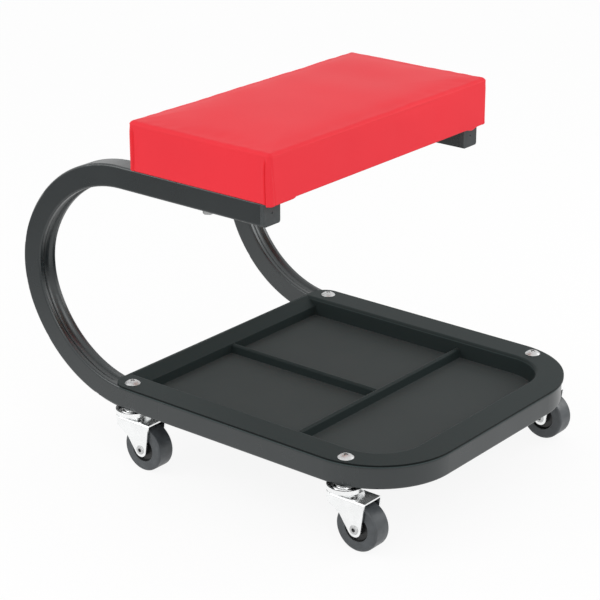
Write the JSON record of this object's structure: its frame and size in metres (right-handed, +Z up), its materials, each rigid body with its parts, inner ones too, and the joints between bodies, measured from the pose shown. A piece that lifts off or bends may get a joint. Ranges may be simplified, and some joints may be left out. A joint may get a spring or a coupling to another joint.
{
  "type": "creeper seat",
  "caption": "Low rolling work seat: a padded red bench on two bent tube loops, with a black tool tray over four swivel casters.",
  "frame": {"origin": "on the floor, under the middle of the object's box", "axes": "+X along the bench, +Y to the back of the two loops, -Y to the tray's rounded end, +Z up"},
  "size_m": [0.381, 0.514, 0.3985],
  "materials": {
    "tube_steel": "black powder coat, satin",
    "tray_plastic": "black polypropylene, fine grain",
    "black_plastic": "black polyethylene, smooth",
    "red_vinyl": "red vinyl leathercloth, soft sheen",
    "foam": "open-cell polyurethane foam",
    "plywood": "raw plywood",
    "bright_zinc": "bright zinc plate",
    "wheel_plastic": "hard black nylon"
  },
  "bodies": {
    "frame": {"base_tube": "tube_steel", "loop_tube_left": "tube_steel", "loop_tube_right": "tube_steel", "end_cap_left": "black_plastic", "end_cap_right": "black_plastic", "tool_tray": "tray_plastic", "tray_screws": "bright_zinc", "lock_nuts": "bright_zinc", "seat_board": "plywood", "seat_foam": "foam", "seat_cover": "red_vinyl", "seat_staples": "bright_zinc", "seat_bolts": "bright_zinc", "seat_washers": "bright_zinc", "tee_nuts": "bright_zinc", "cup_front_left": "bright_zinc", "cup_front_right": "bright_zinc", "cup_back_left": "bright_zinc", "cup_back_right": "bright_zinc", "kingpin_front_left": "bright_zinc", "kingpin_front_right": "bright_zinc", "kingpin_back_left": "bright_zinc", "kingpin_back_right": "bright_zinc"},
    "swivel_front_left": {"fork_front_left": "bright_zinc", "balls_front_left": "bright_zinc", "axle_front_left": "bright_zinc", "sleeve_front_left": "bright_zinc"},
    "roller_front_left": {"wheel_front_left": "wheel_plastic"},
    "swivel_front_right": {"fork_front_right": "bright_zinc", "balls_front_right": "bright_zinc", "axle_front_right": "bright_zinc", "sleeve_front_right": "bright_zinc"},
    "roller_front_right": {"wheel_front_right": "wheel_plastic"},
    "swivel_back_left": {"fork_back_left": "bright_zinc", "balls_back_left": "bright_zinc", "axle_back_left": "bright_zinc", "sleeve_back_left": "bright_zinc"},
    "roller_back_left": {"wheel_back_left": "wheel_plastic"},
    "swivel_back_right": {"fork_back_right": "bright_zinc", "balls_back_right": "bright_zinc", "axle_back_right": "bright_zinc", "sleeve_back_right": "bright_zinc"},
    "roller_back_right": {"wheel_back_right": "wheel_plastic"}
  },
  "joints": [
    {"name": "swivel_front_left", "type": "hinge", "parent": "frame", "child": "swivel_front_left", "pos_m": [-0.171, -0.184, 0.06], "axis": [0, 0, 1], "continuous": true},
    {"name": "roll_front_left", "type": "hinge", "parent": "swivel_front_left", "child": "roller_front_left", "pos_m": [-0.171, -0.206, 0.0255], "axis": [1, 0, 0], "continuous": true},
    {"name": "swivel_front_right", "type": "hinge", "parent": "frame", "child": "swivel_front_right", "pos_m": [0.171, -0.184, 0.06], "axis": [0, 0, 1], "continuous": true},
    {"name": "roll_front_right", "type": "hinge", "parent": "swivel_front_right", "child": "roller_front_right", "pos_m": [0.171, -0.206, 0.0255], "axis": [1, 0, 0], "continuous": true},
    {"name": "swivel_back_left", "type": "hinge", "parent": "frame", "child": "swivel_back_left", "pos_m": [-0.171, 0.1085, 0.06], "axis": [0, 0, 1], "continuous": true},
    {"name": "roll_back_left", "type": "hinge", "parent": "swivel_back_left", "child": "roller_back_left", "pos_m": [-0.171, 0.0865, 0.0255], "axis": [1, 0, 0], "continuous": true},
    {"name": "swivel_back_right", "type": "hinge", "parent": "frame", "child": "swivel_back_right", "pos_m": [0.171, 0.1085, 0.06], "axis": [0, 0, 1], "continuous": true},
    {"name": "roll_back_right", "type": "hinge", "parent": "swivel_back_right", "child": "roller_back_right", "pos_m": [0.171, 0.0865, 0.0255], "axis": [1, 0, 0], "continuous": true}
  ]
}
